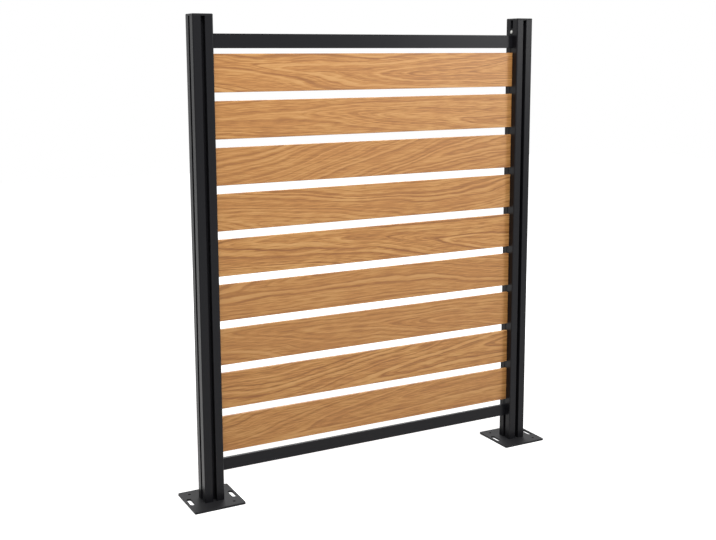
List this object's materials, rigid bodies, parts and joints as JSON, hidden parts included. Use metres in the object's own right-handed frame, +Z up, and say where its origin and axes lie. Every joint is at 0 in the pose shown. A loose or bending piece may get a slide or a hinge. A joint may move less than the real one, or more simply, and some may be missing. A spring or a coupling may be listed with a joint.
{
  "type": "garden privacy screen",
  "caption": "Free-standing slatted privacy screen: wood-decor slats held in the grooves of two black aluminium posts on square ground plates.",
  "frame": {"origin": "on the ground under the middle of the screen, between the two posts", "axes": "+Z up, +X along the screen to the right seen from the front, +Y through its thickness to the back"},
  "size_m": [1.038, 0.13, 1.18],
  "materials": {
    "frame_black": "satin black powder coat on extruded aluminium",
    "plate_black": "fine-texture black powder coat on steel plate",
    "slat_oak": "honey-oak wood decor film on extruded aluminium",
    "cap_black": "moulded black plastic",
    "spacer_black": "extruded black plastic",
    "screw_steel": "stainless steel"
  },
  "bodies": {
    "root": {"left_base_plate": "plate_black", "left_base_screws": "screw_steel", "left_post": "frame_black", "left_post_cap": "cap_black", "left_rail_screws": "screw_steel", "left_lock_block": "spacer_black", "left_lock_screw": "screw_steel", "left_bottom_edge_spacer": "spacer_black", "left_slat_spacer_1": "spacer_black", "left_slat_spacer_2": "spacer_black", "left_slat_spacer_3": "spacer_black", "left_slat_spacer_4": "spacer_black", "left_slat_spacer_5": "spacer_black", "left_slat_spacer_6": "spacer_black", "left_slat_spacer_7": "spacer_black", "left_slat_spacer_8": "spacer_black", "left_top_edge_spacer": "spacer_black", "right_base_plate": "plate_black", "right_base_screws": "screw_steel", "right_post": "frame_black", "right_post_cap": "cap_black", "right_rail_screws": "screw_steel", "right_lock_block": "spacer_black", "right_lock_screw": "screw_steel", "right_bottom_edge_spacer": "spacer_black", "right_slat_spacer_1": "spacer_black", "right_slat_spacer_2": "spacer_black", "right_slat_spacer_3": "spacer_black", "right_slat_spacer_4": "spacer_black", "right_slat_spacer_5": "spacer_black", "right_slat_spacer_6": "spacer_black", "right_slat_spacer_7": "spacer_black", "right_slat_spacer_8": "spacer_black", "right_top_edge_spacer": "spacer_black", "bottom_rail": "frame_black", "top_rail": "frame_black", "slat_1": "slat_oak", "slat_2": "slat_oak", "slat_3": "slat_oak", "slat_4": "slat_oak", "slat_5": "slat_oak", "slat_6": "slat_oak", "slat_7": "slat_oak", "slat_8": "slat_oak", "slat_9": "slat_oak"}
  },
  "joints": []
}
